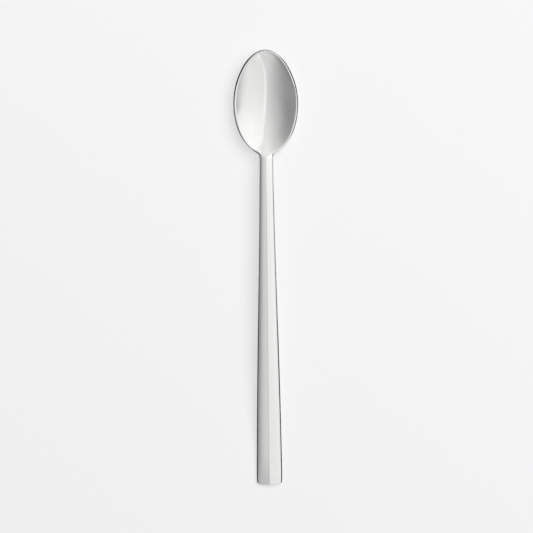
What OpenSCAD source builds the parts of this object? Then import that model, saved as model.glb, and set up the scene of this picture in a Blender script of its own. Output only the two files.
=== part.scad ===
// Iced tea spoon in polished stainless steel, in two pieces that are brazed at the neck:
// a pressed bowl with a tang, and a solid ridged handle with a slot for it.
// It lies on a table at z = 0 with the bowl open upwards. The bowl's tip is at +Y,
// the handle's end at -Y, and the spoon is alike on both sides of x = 0.
// In every function d is the distance from the bowl's tip along the spoon.

/* [Spoon] */
// Length from the bowl's tip to the handle's end
overall_len = 200; // [185:1:215]

/* [Bowl] */
// Length of the bowl's egg outline
bowl_len = 48.5; // [45:0.5:52]
// Widest width of the bowl
bowl_w = 29.8; // [26:0.2:33]
// Depth of the hollow at its deepest place, below a level line
bowl_depth = 6.3; // [5:0.1:7.5]
// Thickness of the steel at the bottom of the bowl
bowl_wall = 1.3; // [1.1:0.05:1.6]
// Thickness of the steel at the rim, which is fully rounded
rim_t = 1.1; // [0.8:0.05:1.2]
// Height of the rim's tip above that line
tip_rise = 1; // [0:0.1:2]
// Height of the rim at the neck above that line, where less than 0 is below it
heel_rise = -0.6; // [-1.2:0.1:0.4]
// How far the rounding between bowl and neck reaches out sideways
neck_fillet = 2; // [1.6:0.1:2.8]

/* [Handle] */
// Width of the handle at the neck
neck_w = 6.5; // [5.6:0.1:7.6]
// Width of the handle at its end
end_w = 11.9; // [9.5:0.1:14]
// Thickness of the handle's edges at the neck
neck_t = 2.4; // [2:0.1:3]
// Thickness of the handle's edges at its end
end_t = 1.7; // [1.3:0.05:2.2]
// Height of the ridge above the edges at the neck
neck_ridge = 0.62; // [0.4:0.02:0.9]
// Height of the ridge above the edges at the handle's end
end_ridge = 1.3; // [0.9:0.05:1.7]
// Width of the bevel along the handle's upper edges
edge_bevel = 0.66; // [0.4:0.02:0.8]
// Radius along the handle's lower edges
back_r = 0.4; // [0.2:0.05:0.5]
// Height of the arch under the handle
arch_h = 5.7; // [5:0.1:6.6]
// Distance from the bowl's tip to the top of the arch
arch_at = 90; // [82:1:98]
// Radius of the arch at its top, seen from the side
arch_r = 700; // [500:10:1000]
// Radius with which the underside bends into the level stretch at its end
pad_r = 75; // [60:5:110]
// Length of that level stretch, which rests on the table
pad_len = 4; // [3:0.5:8]

/* [Handle end] */
// Length over which the end eases downwards and inwards
ease_len = 5; // [3:0.5:8]
// How far the top drops over that length
ease_drop = 0.35; // [0:0.05:0.6]
// How far each side draws in over that length
ease_in = 0.4; // [0:0.05:0.8]
// How far the middle of the end stands out past its corners
end_bow = 0.5; // [0:0.05:1]
// Radius of the end's corners, seen from above
end_r = 1; // [0.6:0.1:1.8]
// Rounding of the end's upper and lower edges
end_round = 0.4; // [0.2:0.05:0.5]

/* [Brazed joint] */
// Length of the neck that belongs to the bowl
stub_len = 3.5; // [3:0.5:6]
// Length of the tang
tang_len = 9; // [6:0.5:12]
// Width of the tang
tang_w = 3.2; // [2.4:0.1:3.6]
// Thickness of the tang
tang_t = 1.3; // [1:0.1:1.5]
// Bevel on the tang's front corners
tang_bevel = 0.6; // [0.3:0.1:0.9]
// Clearance for the filler metal all round the tang
braze_gap = 0.05; // [0.03:0.01:0.1]

/* [Hidden] */

// Slopes of the rim, seen from the side
tip_angle = 6;
heel_angle = 5;
// Shape of the egg: above 1 the widest place moves towards the neck
egg_power = 1.052;
// Deepest place of the bowl as a share of its length, and how the floor climbs to the neck
low_share = 0.46;
heel_power = 1.3;
// Part of a facet's fall that is straight, the same at the handle's end, the length over which
// the one becomes the other, and how late the crown of the rest sets in
flat_share = 0.4;
flat_end_share = 0.8;
flat_end = 17;
crown_power = 2.9;
// Slope of the bevelled edges, and their radii towards the facet and towards the side
bevel_angle = 43.6;
shoulder_r = 0.5;
low_r = 0.12;
// How fast the handle widens at the neck and at its end, as a share of an even taper
neck_taper_share = 0.65;
end_taper_share = 0.4;
// Places where the shell starts and stops becoming a bar, from the end of the egg outline
top_start = -1.4;
back_start = -7.5;
bar_start = 2.2;
// Largest part of an edge's thickness that its lower rounding takes
back_r_share = 0.28;
// Tang inside the neck, and how far a cut runs past a face
tang_root = 1;
overrun = 1;
// Step for slopes worked out by difference, as a length and across the bowl
probe = 0.01;
probe_share = 0.001;

// Counts of faces
half_steps = 8;
edge_steps = 5;
bowl_rows = 32;
fillet_rows = 5;
stub_rows = 8;
bar_rows = 34;
ease_rows = 6;
end_rows = 5;

// Worked out from the sizes above
seam_at = bowl_len + stub_len;
mid_len = bowl_len - rim_t;
mid_half = (bowl_w - rim_t)/2;
rim_base = bowl_depth + bowl_wall;
heel_z = rim_base + heel_rise;
pad_at = overall_len - pad_len;
rim_steps = 2*edge_steps + 1;
half_count = 2*half_steps + rim_steps + 1;
ring_count = 2*half_count - 2;

function unit(v) = v/norm(v);
function lerp(a, b, k) = a + (b - a)*k;
function clamp01(x) = min(1, max(0, x));
function smooth(x) = let (t = clamp01(x)) t*t*t*(10 - 15*t + 6*t*t);
function mirror_x(p) = [-p[0], p[1], p[2]];

// Step from height p0 to p1 over a length, with slopes v0 and v1 and bends a0 and a1 at its ends
function quintic(t, span, p0, p1, v0, v1, a0, a1) =
    let (t2 = t*t, t3 = t2*t, t4 = t3*t, t5 = t4*t)
    lerp(p0, p1, 10*t3 - 15*t4 + 6*t5)
        + span*(v0*(t - 6*t3 + 8*t4 - 3*t5) + v1*(7*t4 - 4*t3 - 3*t5))
        + span*span*(a0*(t2 - 3*t3 + 3*t4 - t5) + a1*(t3 - 2*t4 + t5))/2;

// Height of the rim along the bowl
function rim_z(d) =
    d < bowl_len
        ? quintic(d/bowl_len, bowl_len, rim_base + tip_rise, heel_z,
            -tan(tip_angle), tan(heel_angle), 0, 0)
        : heel_z + (d - bowl_len)*tan(heel_angle);

// Height of the underside along the handle
function back_z(d) =
    d < bowl_len
        ? heel_z - neck_t + (d - bowl_len)*tan(heel_angle)
        : d < arch_at
            ? quintic((d - bowl_len)/(arch_at - bowl_len), arch_at - bowl_len,
                heel_z - neck_t, arch_h, tan(heel_angle), 0, 0, -1/arch_r)
            : d < pad_at
                ? quintic((d - arch_at)/(pad_at - arch_at), pad_at - arch_at,
                    arch_h, 0, 0, 0, -1/arch_r, 1/pad_r)
                : 0;

// How far the handle has come from the neck's sizes to the end's
function bar_share(d) =
    let (v = clamp01((d - bowl_len)/(overall_len - bowl_len)))
    v*(1 - v)*(1 - v)*neck_taper_share + v*v*(3 - 2*v) + v*v*(v - 1)*end_taper_share;
function pad_share(d) = smooth((d - bowl_len)/(pad_at - bowl_len));

// Half the handle's width, drawn in at its end
function end_way(d) = clamp01(1 + (d - overall_len)/ease_len);
function bar_flat(d) = lerp(flat_share, flat_end_share, smooth(1 + (d - overall_len)/flat_end));
function bar_half(d) = lerp(neck_w, end_w, bar_share(d))/2 - ease_in*pow(end_way(d), 2);

// Half the width of the shell's middle surface: an egg, a rounding, then the neck
function egg_half(d) =
    let (u = clamp01((d - rim_t/2)/mid_len), c = 2*pow(u, egg_power) - 1)
    mid_half*sqrt(max(0, 1 - c*c));
function egg_at(turn) = rim_t/2 + mid_len*pow((1 - cos(turn))/2, 1/egg_power);
fillet_half = (neck_w - rim_t)/2 + neck_fillet;
fillet_turn = 180 - asin(fillet_half/mid_half);
fillet_at = egg_at(fillet_turn);
fillet_slope = (egg_half(fillet_at - probe) - egg_half(fillet_at + probe))/(2*probe);
fillet_len = 2*neck_fillet/fillet_slope;
function shell_half(d) =
    d < fillet_at
        ? egg_half(d)
        : bar_half(d) - rim_t/2 + neck_fillet*pow(1 - clamp01((d - fillet_at)/fillet_len), 2);

// Depth of the bowl along its middle: 0 at the rim, 1 at its deepest, and 0 with no slope at the neck.
// Both sides bend alike where they meet at the deepest place.
quartic_share = 1 - heel_power*pow(low_share/(1 - low_share), 2);
function depth_share(u) =
    let (x = 1 - u/low_share, v = clamp01((u - low_share)/(1 - low_share)))
    u < low_share
        ? 1 - x*x*(1 - quartic_share + quartic_share*x*x)
        : pow(1 - v*v, heel_power);

// Point on the middle surface of the shell, with s from -1 at the left rim to 1 at the right
function shell_point(d, s) =
    let (
        u = clamp01((d - rim_t/2)/mid_len),
        b = depth_share(u),
        z0 = rim_z(d) - rim_t/2,
        deep = (z0 - bowl_wall/2)*b
    )
    [shell_half(d)*s, overall_len/2 - d, z0 - deep*(1 - s*s)];

// Direction straight up out of the shell, and along it
function shell_along(d, s) = shell_point(d + probe, s) - shell_point(max(d - probe, rim_t/2), s);
function at_tip(d) = d <= rim_t/2;
function shell_up(d, s) =
    at_tip(d)
        ? unit(cross(shell_along(d, 0), [1, 0, 0]))
        : unit(cross(shell_along(d, s), shell_point(d, s + probe_share) - shell_point(d, s - probe_share)));

// Half a cross-section of the shell: over the top, round the rim and back below
function shell_half_t(d, s) =
    lerp(rim_t, bowl_wall, depth_share(clamp01((d - rim_t/2)/mid_len))*(1 - s*s))/2;
function shell_ring(d) =
    let (
        up = shell_up(d, 1),
        out = cross(up, at_tip(d) ? [1, 0, 0] : unit(shell_along(d, 1)))
    )
    concat(
        [for (j = [0:half_steps]) let (s = j/half_steps)
            shell_point(d, s) + shell_up(d, s)*shell_half_t(d, s)],
        [for (k = [1:rim_steps - 1]) let (turn = 90 - 180*k/rim_steps)
            shell_point(d, 1) + (out*cos(turn) + up*sin(turn))*rim_t/2],
        [for (j = [half_steps:-1:0]) let (s = j/half_steps)
            shell_point(d, s) - shell_up(d, s)*shell_half_t(d, s)]
    );

// Curve of an upper edge, out from and down along the bar: an arc, the bevel and a smaller arc.
// The facet's tilt is where it starts.
function edge_points(tilt) =
    let (
        half_turn = (tilt + bevel_angle)/2,
        below = (90 + bevel_angle)/2,
        shoulder = shoulder_r*[sin(bevel_angle) - sin(tilt), cos(tilt) - cos(bevel_angle)],
        bevel = shoulder + edge_bevel*[cos(bevel_angle), sin(bevel_angle)]
    )
    [
        shoulder_r*[sin(half_turn) - sin(tilt), cos(tilt) - cos(half_turn)],
        shoulder,
        bevel,
        bevel + low_r*[sin(below) - sin(bevel_angle), cos(bevel_angle) - cos(below)],
        bevel + low_r*[1 - sin(bevel_angle), cos(bevel_angle)]
    ];
function edge_out(tilt) = edge_points(tilt)[edge_steps - 1][0];

// Slope at which a crowned facet meets the upper edge's curve
function edge_tilt(half, fall, flat, turns) =
    turns == 0
        ? 0
        : atan((1 + (1 - flat)*crown_power)*fall/(half - edge_out(edge_tilt(half, fall, flat, turns - 1))));

// Half a cross-section of the bar in plane: crowned facet, upper edge, side, lower edge and back
function bar_edge_t(d) = lerp(neck_t, end_t, pad_share(d));
function bar_fall(d) = lerp(neck_ridge, end_ridge, bar_share(d));
function bar_profile(half, edge_t, fall, flat) =
    let (
        r2 = min(back_r, back_r_share*edge_t),
        tilt = edge_tilt(half, fall, flat, 4),
        x1 = half - edge_out(tilt),
        lower = [half - r2, r2]
    )
    concat(
        [for (j = [0:half_steps]) let (q = j/half_steps)
            [x1*q, edge_t + fall*(1 - q*(flat + (1 - flat)*pow(q, crown_power)))]],
        [for (p = edge_points(tilt)) [x1 + p[0], edge_t - p[1]]],
        [for (k = [0:edge_steps - 1]) let (turn = -90*k/edge_steps)
            lower + r2*[cos(turn), sin(turn)]],
        [for (j = [half_steps:-1:0]) [lower[0]*j/half_steps, 0]]
    );

// The same placed along the spoon, stretched to the neck's rounding and closed in at the end
function bar_ring(d) =
    let (
        half = bar_half(d),
        edge_t = bar_edge_t(d),
        fall = bar_fall(d),
        e = pow(end_way(d), 2),
        t = clamp01(1 + (d - overall_len)/end_r),
        q = 1 - sqrt(1 - t*t),
        wide = (shell_half(d) + rim_t/2 - end_r*q)/half,
        low = back_z(d) + end_round*q,
        high = back_z(d) + edge_t + fall - ease_drop*e - end_round*q
    )
    [for (p = bar_profile(half, edge_t, fall, bar_flat(d)))
        let (x = p[0]*wide)
        [x, overall_len/2 - d + end_bow*e*pow(x/half, 2), lerp(low, high, p[1]/(edge_t + fall))]];

// Whole cross-section at d, turning clockwise when seen from the handle's end. The shell becomes
// a bar at one place all over its top, and at another all over its back.
function blend_share(d, j) =
    let (from = lerp(top_start, back_start, smooth((j - half_steps)/rim_steps)))
    smooth((d - bowl_len - from)/(bar_start - from));
function half_ring(d) =
    d <= bowl_len + min(top_start, back_start)
        ? shell_ring(d)
        : d >= bowl_len + bar_start
            ? bar_ring(d)
            : let (shell = shell_ring(d), bar = bar_ring(d))
                [for (j = [0:half_count - 1]) lerp(shell[j], bar[j], blend_share(d, j))];
function ring(d) =
    let (right = half_ring(d))
    concat(right, [for (j = [half_count - 2:-1:1]) mirror_x(right[j])]);

// Places of the cross-sections along the bowl and along the handle
fillet_end = fillet_at + fillet_len;
ease_at = overall_len - ease_len;
round_at = overall_len - end_r;
bowl_places = concat(
    [for (i = [0:bowl_rows]) egg_at(fillet_turn*i/bowl_rows)],
    [for (i = [1:fillet_rows]) lerp(fillet_at, fillet_end, i/fillet_rows)],
    [for (i = [1:stub_rows]) lerp(fillet_end, seam_at, i/stub_rows)]
);
handle_places = concat(
    [for (i = [0:bar_rows]) lerp(seam_at, ease_at, i/bar_rows)],
    [for (i = [1:ease_rows]) lerp(ease_at, round_at, i/ease_rows)],
    [for (i = [1:end_rows]) lerp(round_at, overall_len, sin(90*i/end_rows))]
);

// Skin through cross-sections in order. At the bowl's tip the first one shrinks to the
// rim's own half circle, which both sides share; every other end is closed by a flat cap.
module loft(places, from_tip) {
    tip_count = rim_steps + 1;
    first = ring(places[0]);
    points = concat(
        from_tip ? [for (k = [0:rim_steps]) first[half_steps + k]] : first,
        [for (i = [1:len(places) - 1]) each ring(places[i])]
    );
    function tip_index(j) =
        j < half_count ? min(rim_steps, max(0, j - half_steps)) : tip_index(ring_count - j);
    function index(i, j) =
        let (k = j % ring_count)
        from_tip ? (i == 0 ? tip_index(k) : tip_count + (i - 1)*ring_count + k) : i*ring_count + k;
    sides = [
        for (i = [0:len(places) - 2], j = [0:ring_count - 1])
            let (a = index(i, j), b = index(i, j + 1), c = index(i + 1, j + 1), e = index(i + 1, j))
            each a == b ? [[a, c, e]] : [[a, b, c], [a, c, e]]
    ];
    // Upright strips, each between two points above and the two below them
    function cap(i, ahead) = [
        for (side = [1, -1], j = [0:half_count/2 - 2])
            let (
                strip = [j, j + 1, half_count - 2 - j, half_count - 1 - j],
                ids = [for (k = strip) index(i, side > 0 ? k : ring_count - k)],
                f = (side > 0) == ahead ? ids : [ids[3], ids[2], ids[1], ids[0]]
            )
            each [[f[0], f[1], f[2]], [f[0], f[2], f[3]]]
    ];
    polyhedron(
        points,
        concat(sides, from_tip ? [] : cap(0, false), cap(len(places) - 1, true)),
        convexity = 6
    );
}

// Blade that joins the two pieces. It points along the handle and stays midway in its thickness.
function bar_mid(d) = back_z(d) + (bar_edge_t(d) + bar_fall(d))/2;
module blade(root, gap) {
    side = tang_w/2 + gap;
    front = tang_len + gap;
    pitch = atan((bar_mid(seam_at + tang_len) - bar_mid(seam_at))/tang_len);
    translate([0, overall_len/2 - seam_at, bar_mid(seam_at)])
        rotate([-pitch, 0, 0])
            translate([0, 0, -tang_t/2 - gap])
                linear_extrude(height = tang_t + 2*gap)
                    polygon([
                        [side, root], [side, tang_bevel - front], [side - tang_bevel, -front],
                        [tang_bevel - side, -front], [-side, tang_bevel - front], [-side, root]
                    ]);
}

module bowl() {
    color("silver")
        union() {
            loft(bowl_places, true);
            blade(tang_root, 0);
        }
}

module handle() {
    color("gainsboro")
        difference() {
            loft(handle_places, false);
            blade(overrun, braze_gap);
        }
}

bowl();
handle();
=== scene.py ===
# Iced tea spoon of mirror-polished stainless steel, lying bowl up on a pale table.
# The bowl's tip is at +Y, the handle's end at -Y, and both sides of x = 0 are alike.
# Shapes are worked out in millimetres; d is the distance from the bowl's tip along the spoon.

import math

import bpy
import numpy as np
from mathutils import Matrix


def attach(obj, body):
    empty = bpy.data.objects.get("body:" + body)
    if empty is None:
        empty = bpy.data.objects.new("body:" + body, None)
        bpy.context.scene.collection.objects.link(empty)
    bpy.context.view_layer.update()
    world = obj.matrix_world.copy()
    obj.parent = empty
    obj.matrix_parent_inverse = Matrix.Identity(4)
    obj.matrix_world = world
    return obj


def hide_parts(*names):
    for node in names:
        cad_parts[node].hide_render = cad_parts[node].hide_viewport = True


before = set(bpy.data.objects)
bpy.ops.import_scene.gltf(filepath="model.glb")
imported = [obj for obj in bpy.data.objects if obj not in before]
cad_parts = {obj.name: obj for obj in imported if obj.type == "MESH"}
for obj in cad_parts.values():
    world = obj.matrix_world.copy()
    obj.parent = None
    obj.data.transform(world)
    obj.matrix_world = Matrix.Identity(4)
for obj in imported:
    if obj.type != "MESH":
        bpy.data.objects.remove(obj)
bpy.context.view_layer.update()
print("frame loaded:", ", ".join(sorted(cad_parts)))

millimetre = 0.001

# Sizes of the bowl, in millimetres, degrees and shares
bowlSettings = {
    "length": 48.5,
    "width": 29.8,
    "depth": 6.3,
    "wall": 1.3,
    "rim": 1.1,
    "tipRise": 1.0,
    "heelRise": -0.6,
    "tipAngle": 6.0,
    "heelAngle": 5.0,
    "eggPower": 1.052,  # above 1 the widest place moves towards the neck
    "lowShare": 0.46,  # deepest place along the length
    "heelPower": 1.2,  # how the floor climbs to the neck
    "heelSteep": 4.0,  # how much steeper it is just before the neck
    "filletReach": 2.0,  # rounding between bowl and neck, sideways
    "topStart": -1.4,  # where the shell starts becoming a bar, on top
    "backStart": -7.5,  # and below
    "barStart": 2.2,  # where it is a bar all round
    "stub": 3.5,  # neck that belongs to the bowl
    "rows": 190,
    "filletRows": 16,
    "stubRows": 26,
}

# Sizes of the handle
handleSettings = {
    "spoonLength": 200.0,
    "neckWidth": 6.65,
    "endWidth": 11.9,
    "neckEdge": 2.4,
    "endEdge": 1.7,
    "neckRidge": 0.7,
    "endRidge": 1.3,
    "backRadius": 0.4,
    "backRadiusShare": 0.28,
    "flatShare": 0.4,  # part of a facet's fall that is straight, where the rest is crowned
    "flatEndShare": 0.8,
    "flatEnd": 17.0,  # length over which that part grows at the end
    "crownPower": 2.9,  # how late the crown sets in
    "ridgeSoft": 0.05,  # width of the ridge's own rounding
    "neckTaper": 0.4,
    "endTaper": 0.4,
    "archHeight": 5.7,
    "archAt": 90.0,
    "archRadius": 700.0,
    "padRadius": 75.0,
    "pad": 4.0,
    "easeLength": 5.0,
    "easeDrop": 0.35,
    "easeIn": 0.4,
    "endBow": 0.5,
    "endCorner": 1.0,
    "endRound": 0.4,
    "rows": 150,
    "easeRows": 24,
    "endRows": 12,
}

# Points round half a cross-section
ringSettings = {
    "across": 42,  # over the top or the back
    "middleShare": 0.3,  # their spacing at the middle, where the ridge is, next to even spacing
    "edge": 13,  # round each edge
    "passes": 4,  # how often the slope is corrected at which a facet meets its shoulder
    "probe": 0.01,  # step over which a slope is measured, along the spoon
    "probeShare": 0.001,  # and across it
}

# Upper edges, all round: a shoulder, a narrow polished bevel that is almost straight, and a
# small round down to the upright side. Tilts are in degrees from level. The shell's shoulder and
# bevel go from the first value where the wall stands upright to the second where it leans by
# fullLean
edgeSettings = {
    "bevelTilts": (42.3, 44.9),  # at its upper and its lower border
    "steepTilt": 50.2,  # at the neck the bevel curves on to this tilt
    "steepPlaces": ((34.0, 47.0), (60.0, 160.0)),  # where that sets in, and where it fades out
    "cornerAt": 47.7,  # it stops short in the corner between bowl and handle
    "cornerReach": 3.0,
    "cornerWider": (0.45, 0.1),  # where the shoulder and the bevel are wider by this
    "bevelPlaces": (0.0, 0.1, 0.36, 0.68, 0.9, 1.0),  # points across the bevel
    "shoulderSteps": 4,
    "barShoulder": 0.5,
    "barBevel": 0.66,
    "barLow": 0.12,
    "shellShoulder": (0.25, 0.42),
    "shellBevel": (0.4, 0.5),
    "fullLean": 30.0,
    "tipShoulder": 0.22,  # towards the bowl's tip the bevel is wider
    "tipBevel": 0.86,
    "tipNarrow": 0.36,  # except right at the tip
    "tipNarrowReach": 6.0,
    "tipPlaces": (7.0, 31.0),
    "tipTilt": 1.0,  # and lies flatter by this
    "tipTiltReach": 28.0,
    "tipShift": 0.2,  # and further in by this
    "tipShiftPlaces": (7.0, 20.0),
    "neckTilt": 1.0,  # along the neck the bevel starts steeper by this
    "neckTiltPlaces": (56.0, 76.0),
}

spoonLength = handleSettings["spoonLength"]
bowlLength = bowlSettings["length"]
rimThick = bowlSettings["rim"]
seamAt = bowlLength + bowlSettings["stub"]
padAt = spoonLength - handleSettings["pad"]
eggLength = bowlLength - rimThick
eggHalf = (bowlSettings["width"] - rimThick) / 2
heelHeight = bowlSettings["depth"] + bowlSettings["wall"] + bowlSettings["heelRise"]
heelSlope = math.tan(math.radians(bowlSettings["heelAngle"]))
halfCount = 2 * (ringSettings["across"] + ringSettings["edge"]) + 1
rimSteps = 2 * ringSettings["edge"]
bevelSteps = edgeSettings["shoulderSteps"] + len(edgeSettings["bevelPlaces"]) - 1
lowSteps = ringSettings["edge"] - bevelSteps


def mixOf(a, b, k):
    # straight mix: a where k is 0, b where k is 1
    return a + (b - a) * k


def smoothStep(x):
    # 0 to 1 with no slope and no bend at both ends
    t = np.clip(x, 0, 1)
    return t**3 * (10 - 15 * t + 6 * t**2)


def stepBetween(d, places):
    # smooth step from 0 at the first place to 1 at the second
    return smoothStep((d - places[0]) / (places[1] - places[0]))


def unitOf(v):
    # vector of the same direction and length 1
    return v / np.linalg.norm(v, axis=-1, keepdims=True)


def quinticStep(t, span, heights, slopes, bends):
    # fifth-power curve over a span that meets a height, a slope and a bend at each end
    t = np.clip(t, 0, 1)
    return (
        mixOf(heights[0], heights[1], 10 * t**3 - 15 * t**4 + 6 * t**5)
        + span * slopes[0] * (t - 6 * t**3 + 8 * t**4 - 3 * t**5)
        + span * slopes[1] * (7 * t**4 - 4 * t**3 - 3 * t**5)
        + span**2 * bends[0] * (t**2 - 3 * t**3 + 3 * t**4 - t**5) / 2
        + span**2 * bends[1] * (t**3 - 2 * t**4 + t**5) / 2
    )


def rimHeight(d):
    # height of the rim: one quintic from the tip to the heel, then straight on
    b = bowlSettings
    tip = b["depth"] + b["wall"] + b["tipRise"]
    curve = quinticStep(
        d / bowlLength, bowlLength, (tip, heelHeight),
        (-math.tan(math.radians(b["tipAngle"])), heelSlope), (0, 0),
    )
    return curve + heelSlope * np.maximum(d - bowlLength, 0)


def backHeight(d):
    # height of the handle's underside: up from the heel to the arch, then down to the level pad
    h = handleSettings
    rise, fall = h["archAt"] - bowlLength, padAt - h["archAt"]
    neckBack = heelHeight - h["neckEdge"]
    bend = -1 / h["archRadius"]
    up = quinticStep(
        (d - bowlLength) / rise, rise, (neckBack, h["archHeight"]), (heelSlope, 0), (0, bend),
    )
    down = quinticStep(
        (d - h["archAt"]) / fall, fall, (h["archHeight"], 0), (0, 0), (bend, 1 / h["padRadius"]),
    )
    return np.where(d < h["archAt"], up + heelSlope * np.minimum(d - bowlLength, 0), down)


def barShare(d):
    # cubic from 0 at the neck to 1 at the end, with its own slope at each
    h = handleSettings
    v = np.clip((d - bowlLength) / (spoonLength - bowlLength), 0, 1)
    return v * (1 - v) ** 2 * h["neckTaper"] + v**2 * (3 - 2 * v) + v**2 * (v - 1) * h["endTaper"]


def endWay(d):
    # 0 up to the place where the handle's end starts to ease, 1 at the very end
    return np.clip(1 + (d - spoonLength) / handleSettings["easeLength"], 0, 1)


def barHalf(d):
    # half-width of the handle: from the neck's to the end's, and in a little at the very end
    h = handleSettings
    return mixOf(h["neckWidth"], h["endWidth"], barShare(d)) / 2 - h["easeIn"] * endWay(d) ** 2


def eggHalfAt(d):
    # half-width of an ellipse whose length is bent by a power, so that it becomes an egg
    u = np.clip((d - rimThick / 2) / eggLength, 0, 1)
    return eggHalf * np.sqrt(np.maximum(0, 1 - (2 * u ** bowlSettings["eggPower"] - 1) ** 2))


def eggPlace(turn):
    # distance from the tip at which the egg has turned by so many radians
    return rimThick / 2 + eggLength * ((1 - np.cos(turn)) / 2) ** (1 / bowlSettings["eggPower"])


filletReach = bowlSettings["filletReach"]
filletHalf = (handleSettings["neckWidth"] - rimThick) / 2 + filletReach
filletTurn = math.pi - math.asin(filletHalf / eggHalf)
filletAt = float(eggPlace(filletTurn))
probe = ringSettings["probe"]
filletSlope = float(eggHalfAt(filletAt - probe) - eggHalfAt(filletAt + probe)) / (2 * probe)
filletLength = 2 * filletReach / filletSlope


def shellHalf(d):
    # half-width of the shell's middle surface: the egg, a parabola that meets its slope, the neck
    rest = 1 - np.clip((d - filletAt) / filletLength, 0, 1)
    return np.where(d < filletAt, eggHalfAt(d), barHalf(d) - rimThick / 2 + filletReach * rest**2)


def depthShare(u):
    # 0 at the tip's rim, 1 at the deepest place, 0 without slope at the neck
    low, power = bowlSettings["lowShare"], bowlSettings["heelPower"]
    quartic = 1 - power * (low / (1 - low)) ** 2
    x = np.clip(1 - u / low, 0, 1)
    v = np.clip((u - low) / (1 - low), 0, 1)
    heel = (1 - v**2) ** power + bowlSettings["heelSteep"] * v**8 * (1 - v) ** 2
    return np.where(u < low, 1 - x**2 * (1 - quartic + quartic * x**2), heel)


def shellPoint(d, s):
    # middle surface: s goes from 0 in the middle to 1 at the right rim, and the depth fades as
    # 1 minus s squared
    u = np.clip((d - rimThick / 2) / eggLength, 0, 1)
    b = depthShare(u)
    top = rimHeight(d) - rimThick / 2
    deep = (top - bowlSettings["wall"] / 2) * b
    z = top - deep * (1 - s**2)
    return np.stack(np.broadcast_arrays(shellHalf(d) * s, spoonLength / 2 - d, z), axis=-1)


def shellAlong(d, s):
    # small step of the middle surface along the spoon
    return shellPoint(d + probe, s) - shellPoint(np.maximum(d - probe, rimThick / 2), s)


def shellUp(d, s):
    # unit normal: the cross product of a step along and a step across; at the tip, where the
    # step across shrinks to nothing, it is the middle's normal
    share = ringSettings["probeShare"]
    across = shellPoint(d, s + share) - shellPoint(d, s - share)
    sideways = np.array([1.0, 0.0, 0.0])
    atTip = (d <= rimThick / 2)[..., None]
    along = np.where(atTip, shellAlong(d, np.zeros_like(s)), shellAlong(d, s))
    return unitOf(np.cross(along, np.where(atTip, sideways, across)))


def acrossShares():
    # shares from 0 to 1, closer together at the middle
    t = np.arange(ringSettings["across"] + 1) / ringSettings["across"]
    return t * mixOf(ringSettings["middleShare"], 1, t)


def cornerShare(d):
    # 1 in the corner between bowl and handle, 0 away from it
    return 1 - smoothStep(np.abs(d - edgeSettings["cornerAt"]) / edgeSettings["cornerReach"])


def bevelTurns(d):
    # tilts of the bevel's upper and lower border
    e = edgeSettings
    setsIn, fadesOut = e["steepPlaces"]
    steep = stepBetween(d, setsIn) * (1 - stepBetween(d, fadesOut)) * (1 - cornerShare(d))
    flatter = math.radians(e["tipTilt"]) * np.maximum(1 - d / e["tipTiltReach"], 0) ** 2
    upper, lower = (math.radians(tilt) - flatter for tilt in e["bevelTilts"])
    steeper = math.radians(e["neckTilt"]) * steep * (1 - stepBetween(d, e["neckTiltPlaces"]))
    return upper + steeper, mixOf(lower, math.radians(e["steepTilt"]), steep)


def edgeTurns(start, bevel, upright):
    # angles that the normal turns through, from the start of the shoulder to the upright side
    e = edgeSettings
    shoulder = np.arange(1, e["shoulderSteps"] + 1) / e["shoulderSteps"]
    low = np.arange(1, lowSteps + 1) / lowSteps
    return np.concatenate([
        mixOf(start, bevel[0][:, None], shoulder[None, :]),
        mixOf(bevel[0][:, None], bevel[1][:, None], np.array(e["bevelPlaces"])[None, 1:]),
        mixOf(bevel[1][:, None], upright[:, None], low[None, :]),
    ], axis=1)


def edgeCurve(turn, first, bevel, radii):
    # place out and down along a curve of three arcs, by the angle that its normal has turned:
    # each arc adds its radius times the change of the sine outwards and of the cosine downwards
    out, down = 0, 0
    for radius, low, high in zip(radii, (first, *bevel), (*bevel, np.inf)):
        a, b = np.clip(turn, low, high), np.broadcast_to(low, np.shape(turn))
        out = out + radius * (np.sin(a) - np.sin(b)) * (turn > low)
        down = down + radius * (np.cos(b) - np.cos(a)) * (turn > low)
    return out, down


def rimProfile(d, lean):
    # half cross-section of the rim, out from and down along the wall, from its inside to its
    # underside, where lean is how far the wall leans outwards: as thick as the rim, and its
    # outermost point is where a half circle would have it
    e, half = edgeSettings, rimThick / 2
    k = np.clip(lean / math.radians(e["fullLean"]), 0, 1)
    away = stepBetween(d, e["tipPlaces"])
    tip = e["tipBevel"] - e["tipNarrow"] * (1 - smoothStep(d / e["tipNarrowReach"]))
    wider = [w * cornerShare(d) for w in e["cornerWider"]]
    shoulder = mixOf(e["tipShoulder"], mixOf(*e["shellShoulder"], k), away) + wider[0]
    width = mixOf(tip, mixOf(*e["shellBevel"], k), away) + wider[1]
    bevel = [lean + tilt for tilt in bevelTurns(d)]
    bend = width / (bevel[1] - bevel[0])
    _, down = edgeCurve(bevel[1], 0 * lean, bevel, (shoulder, bend, 0))
    low = (rimThick - down) / (1 + np.cos(bevel[1]))
    upright = lean + np.pi / 2
    out, down = edgeCurve(upright, 0 * lean, bevel, (shoulder, bend, low))
    inwards = e["tipShift"] * (1 - stepBetween(d, e["tipShiftPlaces"]))
    shift = (half * (1 + np.sin(lean)) - down * np.sin(lean) - inwards) / np.cos(lean) - out
    count = rimSteps - ringSettings["edge"]
    below = mixOf(upright[:, None], np.pi, (np.arange(1, count) / count)[None, :])
    turn = np.concatenate([edgeTurns(0, bevel, upright), below], axis=1)
    column = [v[:, None] for v in (0 * lean, *bevel, shoulder, bend, low)]
    out, down = edgeCurve(turn, column[0], column[1:3], column[3:])
    return out + shift[:, None], half - down


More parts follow.
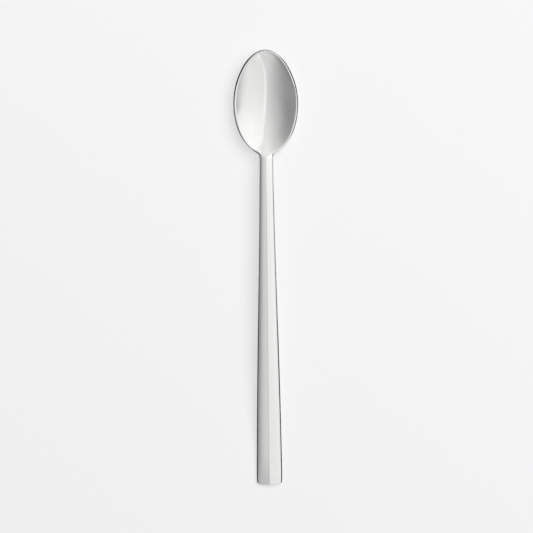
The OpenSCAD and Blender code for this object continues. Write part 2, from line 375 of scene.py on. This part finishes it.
def shellSections(d):
    # half cross-sections of the shell: middle surface plus and minus half the thickness along
    # the normal, joined by the rim's profile
    s = acrossShares()[None, :]
    d = d[:, None]
    point, up = shellPoint(d, s), shellUp(d, s)
    b = depthShare(np.clip((d - rimThick / 2) / eggLength, 0, 1))
    thick = (mixOf(rimThick, bowlSettings["wall"], b * (1 - s**2)) / 2)[..., None]
    edge, edgeUp = point[:, -1:], up[:, -1:]
    atTip = (d <= rimThick / 2)[..., None]
    rimLine = np.where(atTip, np.array([1.0, 0.0, 0.0]), unitOf(shellAlong(d, np.ones_like(d))))
    out = np.cross(edgeUp, rimLine)
    across, along = rimProfile(d[:, 0], np.arctan2(out[:, 0, 2], edgeUp[:, 0, 2]))
    rim = edge + out * across[..., None] + edgeUp * along[..., None]
    # where the rim's profile starts inside the wall's middle, the wall's last points make room
    room = out * (np.minimum(across[:, :1], 0) * s**8)[..., None]
    return np.concatenate([point + up * thick + room, rim, (point - up * thick)[:, ::-1]], axis=1)


def barSections(d):
    # half cross-sections of the bar: a facet that starts straight and ends crowned, an arc, an
    # upright side, a smaller arc and a flat back, closed in at the handle's end
    h = handleSettings
    e = edgeSettings
    half = shellHalf(d) + rimThick / 2
    fall = mixOf(h["neckRidge"], h["endRidge"], barShare(d))
    edge = mixOf(h["neckEdge"], h["endEdge"], stepBetween(d, (bowlLength, padAt)))
    r2 = np.minimum(h["backRadius"], h["backRadiusShare"] * edge)
    bevel = bevelTurns(d)
    wider = [w * cornerShare(d) for w in e["cornerWider"]]
    shoulder, width = e["barShoulder"] + wider[0], e["barBevel"] + wider[1]
    radii = (shoulder, width / (bevel[1] - bevel[0]), e["barLow"])
    towardsEnd = smoothStep(1 + (d - spoonLength) / h["flatEnd"])
    flat = mixOf(h["flatShare"], h["flatEndShare"], towardsEnd)
    tilt = np.zeros_like(d)
    for _ in range(ringSettings["passes"]):
        out, _ = edgeCurve(np.full_like(d, np.pi / 2), tilt, bevel, radii)
        tilt = np.arctan((1 + (1 - flat) * h["crownPower"]) * fall / (half - out))
    turn = edgeTurns(tilt[:, None], bevel, np.full_like(d, np.pi / 2))
    half, fall, edge, r2, tilt, flat, d = (v[:, None] for v in (half, fall, edge, r2, tilt, flat, d))
    bevel, radii = [v[:, None] for v in bevel], [v[:, None] for v in radii[:2]] + [radii[2]]
    out, down = edgeCurve(turn, tilt, bevel, radii)
    facet = half - out[:, -1:]
    arcX, arcZ = facet + out, edge - down
    soft = h["ridgeSoft"] / facet
    q = acrossShares()[None, :]
    qSoft = (np.sqrt(q**2 + soft**2) - soft) / (np.sqrt(1 + soft**2) - soft)
    crown = mixOf(qSoft ** h["crownPower"], 1, flat)
    topX, topZ = facet * q, edge + fall * (1 - qSoft * crown)
    k = np.arange(ringSettings["edge"])[None, :] / (ringSettings["edge"] - 1)
    lowX, lowZ = half - r2 + r2 * np.cos(np.pi / 2 * k), r2 - r2 * np.sin(np.pi / 2 * k)
    backX, backZ = (half - r2) * q[:, ::-1], np.zeros_like(q * d)
    x = np.concatenate([topX, arcX, lowX, backX[:, 1:]], axis=1)
    z = np.concatenate([topZ, arcZ, lowZ, backZ[:, 1:]], axis=1)
    ease = endWay(d) ** 2
    t = np.clip(1 + (d - spoonLength) / h["endCorner"], 0, 1)
    q = 1 - np.sqrt(1 - t**2)
    x = x * (half - h["endCorner"] * q) / half
    low = backHeight(d) + h["endRound"] * q
    high = backHeight(d) + edge + fall - h["easeDrop"] * ease - h["endRound"] * q
    y = spoonLength / 2 - d + h["endBow"] * ease * (x / half) ** 2
    return np.stack([x, y, mixOf(low, high, z / (edge + fall))], axis=-1)


def spoonSections(d):
    # whole cross-sections in metres: shell, bar or a smooth mix of the two, which sets in earlier
    # from below the bevel down to the back, mirrored to the left
    b = bowlSettings
    first = ringSettings["across"] + bevelSteps + 1
    down = smoothStep((np.arange(halfCount) - first) / (ringSettings["across"] + rimSteps - first))
    start = mixOf(b["topStart"], b["backStart"], down)[None, :]
    share = smoothStep((d[:, None] - bowlLength - start) / (b["barStart"] - start))[..., None]
    right = mixOf(shellSections(d), barSections(d), share)
    left = right[:, -2:0:-1] * np.array([-1.0, 1.0, 1.0])
    return np.concatenate([right, left], axis=1) * millimetre


def buildLoft(name, sections, fromTip):
    # skin through the cross-sections: the first row of the bowl shrinks to the rim's own half
    # circle, which both sides share, and every other end is closed by upright strips
    rows, ring = sections.shape[:2]
    index = np.arange(rows * ring).reshape(rows, ring)
    column = np.minimum(np.arange(ring), (ring - np.arange(ring)) % ring)
    if fromTip:
        first = ringSettings["across"]
        index[0] = np.clip(column, first, first + rimSteps)
    a, b = index[:-1], np.roll(index[:-1], -1, axis=1)
    c, e = np.roll(index[1:], -1, axis=1), index[1:]
    quads = np.stack([a, e, c, b], axis=-1).reshape(-1, 4)
    whole = quads[:, 0] != quads[:, 3]
    faces = quads[whole].tolist() + quads[~whole][:, :3].tolist()
    j = np.arange(halfCount // 2 - 1)
    strip = np.stack([j, j + 1, halfCount - 2 - j, halfCount - 1 - j], axis=-1)
    mirrored = (ring - strip) % ring
    capRows = [(rows - 1, True)] if fromTip else [(0, False), (rows - 1, True)]
    for row, ahead in capRows:
        right, left = (strip[:, ::-1], mirrored) if ahead else (strip, mirrored[:, ::-1])
        faces += index[row][np.concatenate([right, left])].tolist()
    points = np.unique(index)
    place = np.full(rows * ring, -1)
    place[points] = np.arange(len(points))
    mesh = bpy.data.meshes.new(name)
    faces = [[int(place[k]) for k in face] for face in faces]
    mesh.from_pydata(sections.reshape(-1, 3)[points].tolist(), [], faces)
    mesh.shade_smooth()
    seams = [place[index[row]] for row, ahead in capRows if ahead == fromTip]
    edges = np.zeros(len(mesh.edges) * 2, int)
    mesh.edges.foreach_get("vertices", edges)
    edges = edges.reshape(-1, 2)
    sharp = np.zeros(len(edges), bool)
    for seam in seams:
        step = np.abs(edges[:, 0] - edges[:, 1])
        onSeam = np.isin(edges, seam).all(axis=1)
        sharp |= onSeam & ((step == 1) | (step == ring - 1))
    mesh.attributes.new("sharp_edge", "BOOLEAN", "EDGE").data.foreach_set("value", sharp)
    mesh.validate()
    piece = bpy.data.objects.new(name, mesh)
    bpy.context.scene.collection.objects.link(piece)
    print(name, "built with", len(mesh.polygons), "faces")
    return piece


def buildBowl():
    b = bowlSettings
    filletEnd = filletAt + filletLength
    places = np.concatenate([
        eggPlace(filletTurn * np.arange(b["rows"] + 1) / b["rows"]),
        mixOf(filletAt, filletEnd, np.arange(1, b["filletRows"] + 1) / b["filletRows"]),
        mixOf(filletEnd, seamAt, np.arange(1, b["stubRows"] + 1) / b["stubRows"]),
    ])
    return buildLoft("polished_bowl", spoonSections(places), True)


def buildHandle():
    h = handleSettings
    easeAt, roundAt = spoonLength - h["easeLength"], spoonLength - h["endCorner"]
    lastShares = np.arange(1, h["endRows"] + 1) / h["endRows"]
    places = np.concatenate([
        mixOf(seamAt, easeAt, np.arange(h["rows"] + 1) / h["rows"]),
        mixOf(easeAt, roundAt, np.arange(1, h["easeRows"] + 1) / h["easeRows"]),
        mixOf(roundAt, spoonLength, np.sin(np.pi / 2 * lastShares)),
    ])
    return buildLoft("ridged_handle", spoonSections(places), False)


# Finish of the steel: a mirror polish with the faint haze and lines that buffing leaves, and painted
# light and shade along the spoon and on its ridge
steelSettings = {
    "lightColour": (0.86, 0.86, 0.855),
    "deepColour": (0.82, 0.82, 0.81),
    "cloudScale": 35.0,  # broad, faint clouds of polish, per metre
    "cloudDetail": 4.0,
    # painted light and shade, not wear: the steel is toned along the spoon to agree with the
    # photograph, where a real one has a single tone, and the falloff of the light it mirrors is
    # painted in as a gain by the share of the way from the handle's end to the bowl's tip, times the
    # top gain
    "paintedLightGains": ((0.0, 0.91), (0.08, 0.96), (0.74, 1.0), (0.8, 0.92)),
    "paintedLightTop": 1.1,
    # painted shade: a darker hairline along the handle's ridge, for the same reason, in metres: its
    # place and half-width, how dark it is, and where along the spoon it fades
    "paintedRidgeLine": (-0.00012, 0.00016),
    "paintedRidgeGain": 0.6,
    "paintedRidgeFade": (0.036, 0.022),
    "clearRoughness": 0.05,
    "hazyRoughness": 0.11,
    "lineScale": (1800, 70, 1800),  # buffing lines per metre, across and along the spoon
    "lineDetail": 3.0,
    "lineBroken": 0.6,
    "lineBump": 0.006,
    "waveScale": 60.0,  # soft waves of a hand-held polish, per metre
    "waveDetail": 1.0,
    "waveBump": 0.02,
}


def putIn(tree, socket, value):
    # a node's output is linked, anything else is set
    if isinstance(value, bpy.types.NodeSocket):
        tree.links.new(value, socket)
    else:
        socket.default_value = value


def addNode(tree, kind, **inputs):
    node = tree.nodes.new(kind)
    for name, value in inputs.items():
        putIn(tree, node.inputs[name], value)
    return node


def addMath(tree, operation, *values):
    node = tree.nodes.new("ShaderNodeMath")
    node.operation = operation
    for socket, value in zip(node.inputs, values):
        putIn(tree, socket, value)
    return node.outputs["Value"]


def addProduct(tree, first, second):
    # one colour times another
    node = tree.nodes.new("ShaderNodeVectorMath")
    node.operation = "MULTIPLY"
    putIn(tree, node.inputs[0], first)
    putIn(tree, node.inputs[1], second)
    return node.outputs["Vector"]


def addScaled(tree, colour, factor):
    # a colour times a number
    node = tree.nodes.new("ShaderNodeVectorMath")
    node.operation = "SCALE"
    putIn(tree, node.inputs[0], colour)
    putIn(tree, node.inputs["Scale"], factor)
    return node.outputs["Vector"]


def addMix(tree, share, first, second):
    node = tree.nodes.new("ShaderNodeMix")
    node.data_type = "RGBA"
    for name, value in (("Factor", share), ("A", first), ("B", second)):
        putIn(tree, node.inputs[name], value)
    return node.outputs["Result"]


def addLevels(tree, levels, value, course="LINEAR"):
    # a grey ramp through pairs of place and level
    ramp = tree.nodes.new("ShaderNodeValToRGB")
    ramp.color_ramp.interpolation = course
    elements = ramp.color_ramp.elements
    for place, level in levels[1:-1]:
        elements.new(place)
    for element, (place, level) in zip(elements, levels):
        element.position = place
        element.color = (level, level, level, 1)
    tree.links.new(value, ramp.inputs["Fac"])
    return ramp.outputs["Color"]


def addRange(tree, value, reach, levels, course="LINEAR"):
    # from one level to another while the value goes through its reach
    node = tree.nodes.new("ShaderNodeMapRange")
    node.interpolation_type = course
    names = ("Value", "From Min", "From Max", "To Min", "To Max")
    for name, number in zip(names, (value, *reach, *levels)):
        putIn(tree, node.inputs[name], number)
    return node.outputs["Result"]


def addFade(tree, direction, place, top, base):
    # from the top at a place in the sky, given by how far it leans to +X and +Y and how far it
    # reaches, smoothly to the base
    toRight, toFront, reach = place
    away = tree.nodes.new("ShaderNodeVectorMath")
    away.operation = "DISTANCE"
    putIn(tree, away.inputs[0], direction)
    upwards = math.sqrt(max(0, 1 - toRight**2 - toFront**2))
    putIn(tree, away.inputs[1], (toRight, toFront, upwards))
    return addRange(tree, away.outputs["Value"], (0.0, reach), (top, base), "SMOOTHSTEP")


def addMaterial(name):
    material = bpy.data.materials.new(name)
    material.use_nodes = True
    tree = material.node_tree
    return material, tree, tree.nodes["Principled BSDF"].inputs


def buildSteel():
    s = steelSettings
    material, tree, finish = addMaterial("mirror_polished_steel")
    finish["Metallic"].default_value = 1.0
    here = tree.nodes.new("ShaderNodeTexCoord").outputs["Object"]
    place = addNode(tree, "ShaderNodeSeparateXYZ", Vector=here)
    x, y = place.outputs["X"], place.outputs["Y"]

    # colour: clouds, painted light and shade along the spoon and the ridge's painted dark line
    scale, detail = s["cloudScale"], s["cloudDetail"]
    clouds = addNode(tree, "ShaderNodeTexNoise", Vector=here, Scale=scale, Detail=detail)
    colour = addNode(tree, "ShaderNodeValToRGB", Fac=clouds.outputs["Fac"])
    tones = (s["deepColour"], s["lightColour"])
    for element, tone in zip(colour.color_ramp.elements, tones):
        element.color = (*tone, 1)
    # painted light and shade: a gain on the steel's colour along the spoon
    along = addMath(tree, "MULTIPLY_ADD", y, 1 / (spoonLength * millimetre), 0.5)
    gain = addScaled(tree, addLevels(tree, s["paintedLightGains"], along), s["paintedLightTop"])
    # painted shade: a darker line along the handle's ridge, which fades along the spoon
    middle, width = s["paintedRidgeLine"]
    off = addMath(tree, "ABSOLUTE", addMath(tree, "SUBTRACT", x, middle))
    paintedRidgeShade = addRange(tree, off, (0.0, width), (s["paintedRidgeGain"] - 1, 0.0))
    faded = addRange(tree, y, s["paintedRidgeFade"], (0.0, 1.0))
    paintedRidgeShade = addMath(tree, "MULTIPLY_ADD", paintedRidgeShade, faded, 1.0)
    steel = addProduct(tree, colour.outputs["Color"], gain)
    putIn(tree, finish["Base Color"], addProduct(tree, steel, paintedRidgeShade))

    # buffing lines that run along the spoon: haze and relief
    stretch = addNode(tree, "ShaderNodeMapping", Vector=here, Scale=s["lineScale"])
    lines = addNode(
        tree, "ShaderNodeTexNoise", Vector=stretch.outputs["Vector"],
        Scale=1.0, Detail=s["lineDetail"], Roughness=s["lineBroken"],
    ).outputs["Fac"]
    haze = addRange(tree, lines, (0.0, 1.0), (s["clearRoughness"], s["hazyRoughness"]))
    putIn(tree, finish["Roughness"], haze)
    relief = addNode(
        tree, "ShaderNodeBump", Height=lines, Strength=s["lineBump"], Distance=millimetre
    )
    scale, detail = s["waveScale"], s["waveDetail"]
    waves = addNode(tree, "ShaderNodeTexNoise", Vector=here, Scale=scale, Detail=detail)
    relief = addNode(
        tree, "ShaderNodeBump", Height=waves.outputs["Fac"], Strength=s["waveBump"],
        Distance=millimetre, Normal=relief.outputs["Normal"],
    )
    putIn(tree, finish["Normal"], relief.outputs["Normal"])
    return material


bowl = buildBowl()
handle = buildHandle()
steel = buildSteel()
for piece, node in ((bowl, "bowl"), (handle, "handle")):
    piece.data.materials.append(steel)
    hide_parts(node)
    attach(piece, "root")
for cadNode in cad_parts.values():
    cadNode.data.materials.clear()
    cadNode.data.materials.append(steel)
print("steel finish set")

# Table, light and what the metal mirrors
studioSettings = {
    "tableSize": 12.0,
    "tableColour": (0.93, 0.93, 0.93),
    "tableRoughness": 0.9,
    "glow": 0.868,
    "glowShare": 0.72,  # a bright table: lifts its shadows, seen straight or in the metal
    "paintedLightTurn": 50.0,  # painted light: the table is paler towards this direction, in degrees from +X
    "paintedLightReach": 0.3,
    "paintedLightChange": 0.075,
    "tableEdge": (-0.12, -0.07),  # the metal sees a dark floor from here on to the left
    "sunStrength": 3.4,
    "sunAngle": 55.0,
    "sunTurn": (27.0, 16.0),  # tilt towards +X, then towards +Y, in degrees
    "roomLevel": 0.12,
    "metal": 0.84,  # the levels below are as seen in the metal
    # dark band at the horizon: level by how high a direction points
    "horizon": (
        (0.0, 0.02), (0.115, 0.03), (0.135, 0.62), (0.16, 0.73), (0.24, 0.86), (0.34, 1.0),
    ),
    # left part of the sky: level by how far a direction leans to +X, plus 1
    "leftLevels": ((0.15, 0.28), (0.4, 0.41), (1.0, 0.68)),
    "leftGain": (0.25, 1.6),  # paler towards +Y, less so far left
    # right part: level by how far it leans to +Y, halved, plus a half
    "rightLevels": ((0.0, 0.7), (0.5, 0.77), (0.8, 0.94), (1.0, 0.88)),
    "rightGain": (0.35, 0.12),  # paler where it leans to +X by more than the first value
    # darker where it leans far to +X
    "farLevels": ((0.0, 1.0), (0.77, 1.0), (0.85, 0.91), (0.9, 0.77), (0.95, 0.54), (1.0, 0.45)),
    # where the dark band at the horizon sinks or rises: place by how far it leans to +X and +Y,
    # reach, change of height
    "lifts": (
        (0.62, 0.78, 0.7, 0.1),
        (-0.8, 0.6, 0.4, -0.1),
        (0.6, -0.8, 1.0, 0.12),
        (-0.95, -0.3, 0.25, -0.12),
    ),
    # soft round patches: place by how far it leans to +X and +Y, reach, change of level
    "patches": (
        (-0.66, 0.4, 0.36, -0.17),
        (-0.74, 0.12, 0.36, -0.16),
        (-0.6, -0.5, 0.5, 0.05),
        (-0.4, -0.85, 0.45, 0.13),
        (0.05, -0.87, 0.26, -0.08),
        (0.42, -0.84, 0.2, 0.1),
        (-0.95, 0.17, 0.26, -0.55),
        (0.91, 0.07, 0.2, -0.3),
        (-0.52, 0.5, 0.25, -0.06),
        (0.52, 0.4, 0.3, 0.04),
        (-0.12, 0.5, 0.3, 0.05),
        (-0.29, -0.65, 0.25, 0.07),
        (-0.85, -0.5, 0.2, 0.15),
        (0.48, 0.0, 0.18, 0.03),
        (-0.86, 0.2, 0.14, 0.11),
        (-0.8, -0.62, 0.18, 0.1),
        (-0.43, -0.87, 0.16, 0.09),
        (0.6, -0.72, 0.2, -0.04),
        (0.1, 0.77, 0.14, -0.07),
    ),
    # where the two parts meet: how far it leans to +X, plus the zero, by how far it leans to +Y,
    # halved, plus a half
    "splitZero": 0.2,
    "splitLevels": (
        (0.04, 0.66), (0.08, 0.4), (0.16, 0.25), (0.28, 0.15), (0.5, 0.15), (0.68, 0.23),
        (0.8, 0.315), (0.85, 0.31), (0.9, 0.6),
    ),
    "splitSoft": 0.014,
    # a bright line beside it: by the distance from there, plus the zero, and its gain by how far
    # it leans to +Y, halved, plus a half
    "lineLevels": (
        (0.0, 0.0), (0.2, 0.0), (0.23, 0.9), (0.26, 1.0), (0.3, 0.2), (0.36, 0.0), (1.0, 0.0),
    ),
    "lineGains": (
        (0.0, 0.3), (0.1, 0.2), (0.2, 0.25), (0.48, 0.24), (0.6, 0.14), (0.7, 0.02), (1.0, 0.0),
    ),
}


def buildTable():
    # a pale table that glows a little, with painted light that makes it paler to one side
    s = studioSettings
    half = s["tableSize"] / 2
    corners = [(-half, -half, 0), (half, -half, 0), (half, half, 0), (-half, half, 0)]
    mesh = bpy.data.meshes.new("table")
    mesh.from_pydata(corners, [], [(0, 1, 2, 3)])
    table = bpy.data.objects.new("table", mesh)
    bpy.context.scene.collection.objects.link(table)
    material, tree, finish = addMaterial("pale_table")
    finish["Base Color"].default_value = (*s["tableColour"], 1)
    finish["Roughness"].default_value = s["tableRoughness"]
    finish["Specular IOR Level"].default_value = 0.0
    here = tree.nodes.new("ShaderNodeTexCoord").outputs["Object"]
    place = addNode(tree, "ShaderNodeSeparateXYZ", Vector=here)
    x, y = place.outputs["X"], place.outputs["Y"]
    # painted light: the glow grows paler towards one side of the table
    turn = math.radians(s["paintedLightTurn"])
    along = addMath(tree, "MULTIPLY", y, math.sin(turn))
    along = addMath(tree, "MULTIPLY_ADD", x, math.cos(turn), along)
    reach, change = s["paintedLightReach"], s["paintedLightChange"]
    change = addRange(tree, along, (-reach, reach), (1 - change, 1 + change), "SMOOTHSTEP")
    path = tree.nodes.new("ShaderNodeLightPath")
    toCamera, toMetal = path.outputs["Is Camera Ray"], path.outputs["Is Glossy Ray"]
    floor = addRange(tree, x, s["tableEdge"], (-s["glow"], 0.0))
    strength = addMath(tree, "MULTIPLY_ADD", toMetal, floor, s["glow"])
    strength = addMath(tree, "MULTIPLY", change, strength)
    glow = addNode(tree, "ShaderNodeEmission", Strength=strength)
    share = addMath(tree, "MAXIMUM", toCamera, toMetal)
    share = addMath(tree, "MULTIPLY", share, s["glowShare"])
    mix = addNode(tree, "ShaderNodeMixShader", Fac=share)
    putIn(tree, mix.inputs[1], tree.nodes["Principled BSDF"].outputs["BSDF"])
    putIn(tree, mix.inputs[2], glow.outputs["Emission"])
    putIn(tree, tree.nodes["Material Output"].inputs["Surface"], mix.outputs["Shader"])
    mesh.materials.append(material)


def buildSky():
    # soft boxes fill the right part of the sky, brighter towards +Y; the left part is a dim room
    # that darkens away from the middle; a low dark band runs round the horizon
    s = studioSettings
    world = bpy.data.worlds.new("studio")
    bpy.context.scene.world = world
    world.use_nodes = True
    tree = world.node_tree
    heavens = tree.nodes.new("ShaderNodeTexCoord").outputs["Generated"]
    parts = addNode(tree, "ShaderNodeSeparateXYZ", Vector=heavens)
    x, y, z = (parts.outputs[axis] for axis in "XYZ")
    forward = addMath(tree, "MULTIPLY_ADD", y, 0.5, 0.5)

    ahead = addMath(tree, "MAXIMUM", y, 0.0)
    gain, lean = s["leftGain"]
    rise = addMath(tree, "MULTIPLY", addMath(tree, "MULTIPLY", ahead, ahead), gain)
    rise = addMath(tree, "MULTIPLY", rise, addMath(tree, "MULTIPLY_ADD", x, lean, 1.0))
    left = addLevels(tree, s["leftLevels"], addMath(tree, "ADD", x, 1.0))
    left = addScaled(tree, left, addMath(tree, "ADD", rise, 1.0))
    lean, gain = s["rightGain"]
    right = addLevels(tree, s["rightLevels"], forward)
    right = addScaled(tree, right, addMath(tree, "MULTIPLY_ADD", x, gain, 1 - lean * gain))

    zero, soft = s["splitZero"], s["splitSoft"]
    split = addLevels(tree, s["splitLevels"], forward, "B_SPLINE")
    past = addMath(tree, "SUBTRACT", x, addMath(tree, "SUBTRACT", split, zero))
    side = addRange(tree, past, (-soft, soft), (0.0, 1.0), "SMOOTHSTEP")
    line = addLevels(tree, s["lineLevels"], addMath(tree, "ADD", past, zero), "B_SPLINE")
    line = addMath(tree, "MULTIPLY_ADD", line, addLevels(tree, s["lineGains"], forward), 1.0)

    for *place, change in s["lifts"]:
        z = addMath(tree, "ADD", z, addFade(tree, heavens, place, change, 0.0))
    low = addLevels(tree, s["horizon"], z)
    for *place, change in s["patches"]:
        low = addProduct(tree, low, addFade(tree, heavens, place, 1 + change, 1.0))
    whole = addMix(tree, side, left, right)
    for part in (low, addLevels(tree, s["farLevels"], x), line):
        whole = addProduct(tree, whole, part)

    # the metal shows this sky; the table is lit by the key light and an even room
    bright = addScaled(tree, whole, 1 / s["metal"])
    path = tree.nodes.new("ShaderNodeLightPath")
    seen = addMath(tree, "MAXIMUM", path.outputs["Is Camera Ray"], path.outputs["Is Glossy Ray"])
    room = (s["roomLevel"],) * 3 + (1,)
    putIn(tree, tree.nodes["Background"].inputs["Color"], addMix(tree, seen, room, bright))


def buildSun():
    s = studioSettings
    lamp = bpy.data.lights.new("key_light", "SUN")
    lamp.energy = s["sunStrength"]
    lamp.angle = math.radians(s["sunAngle"])
    sun = bpy.data.objects.new("key_light", lamp)
    sun.rotation_euler = (-math.radians(s["sunTurn"][1]), math.radians(s["sunTurn"][0]), 0)
    sun.visible_glossy = False
    bpy.context.scene.collection.objects.link(sun)


# The photograph's frame: 533 pixels a side, and where the middle of the spoon lies in it
cameraSettings = {
    "imageSize": 533,
    "pixel": 0.45765,  # millimetres at the height of the rim
    "middle": (267.43, 267.56),
    "roll": 0.5856,
    "height": 1.5,
    "rimLevel": 0.007,
    "sensor": 36.0,
    "clip": (0.01, 100.0),
}


def buildCamera():
    c = cameraSettings
    span = c["imageSize"] * c["pixel"] * millimetre
    camera = bpy.data.cameras.new("camera")
    camera.sensor_width = c["sensor"]
    camera.lens = c["sensor"] * c["height"] / span
    camera.clip_start, camera.clip_end = c["clip"]
    roll = -math.radians(c["roll"])
    across, down = ((p - c["imageSize"] / 2) * c["pixel"] * millimetre for p in c["middle"])
    eye = bpy.data.objects.new("camera", camera)
    eye.location = (
        -across * math.cos(roll) - down * math.sin(roll),
        -across * math.sin(roll) + down * math.cos(roll),
        c["height"] + c["rimLevel"],
    )
    eye.rotation_euler = (0, 0, roll)
    bpy.context.scene.collection.objects.link(eye)
    bpy.context.scene.camera = eye


buildTable()
buildSky()
buildSun()
buildCamera()
bpy.context.scene.view_settings.view_transform = "Standard"
print("table, light and camera set")
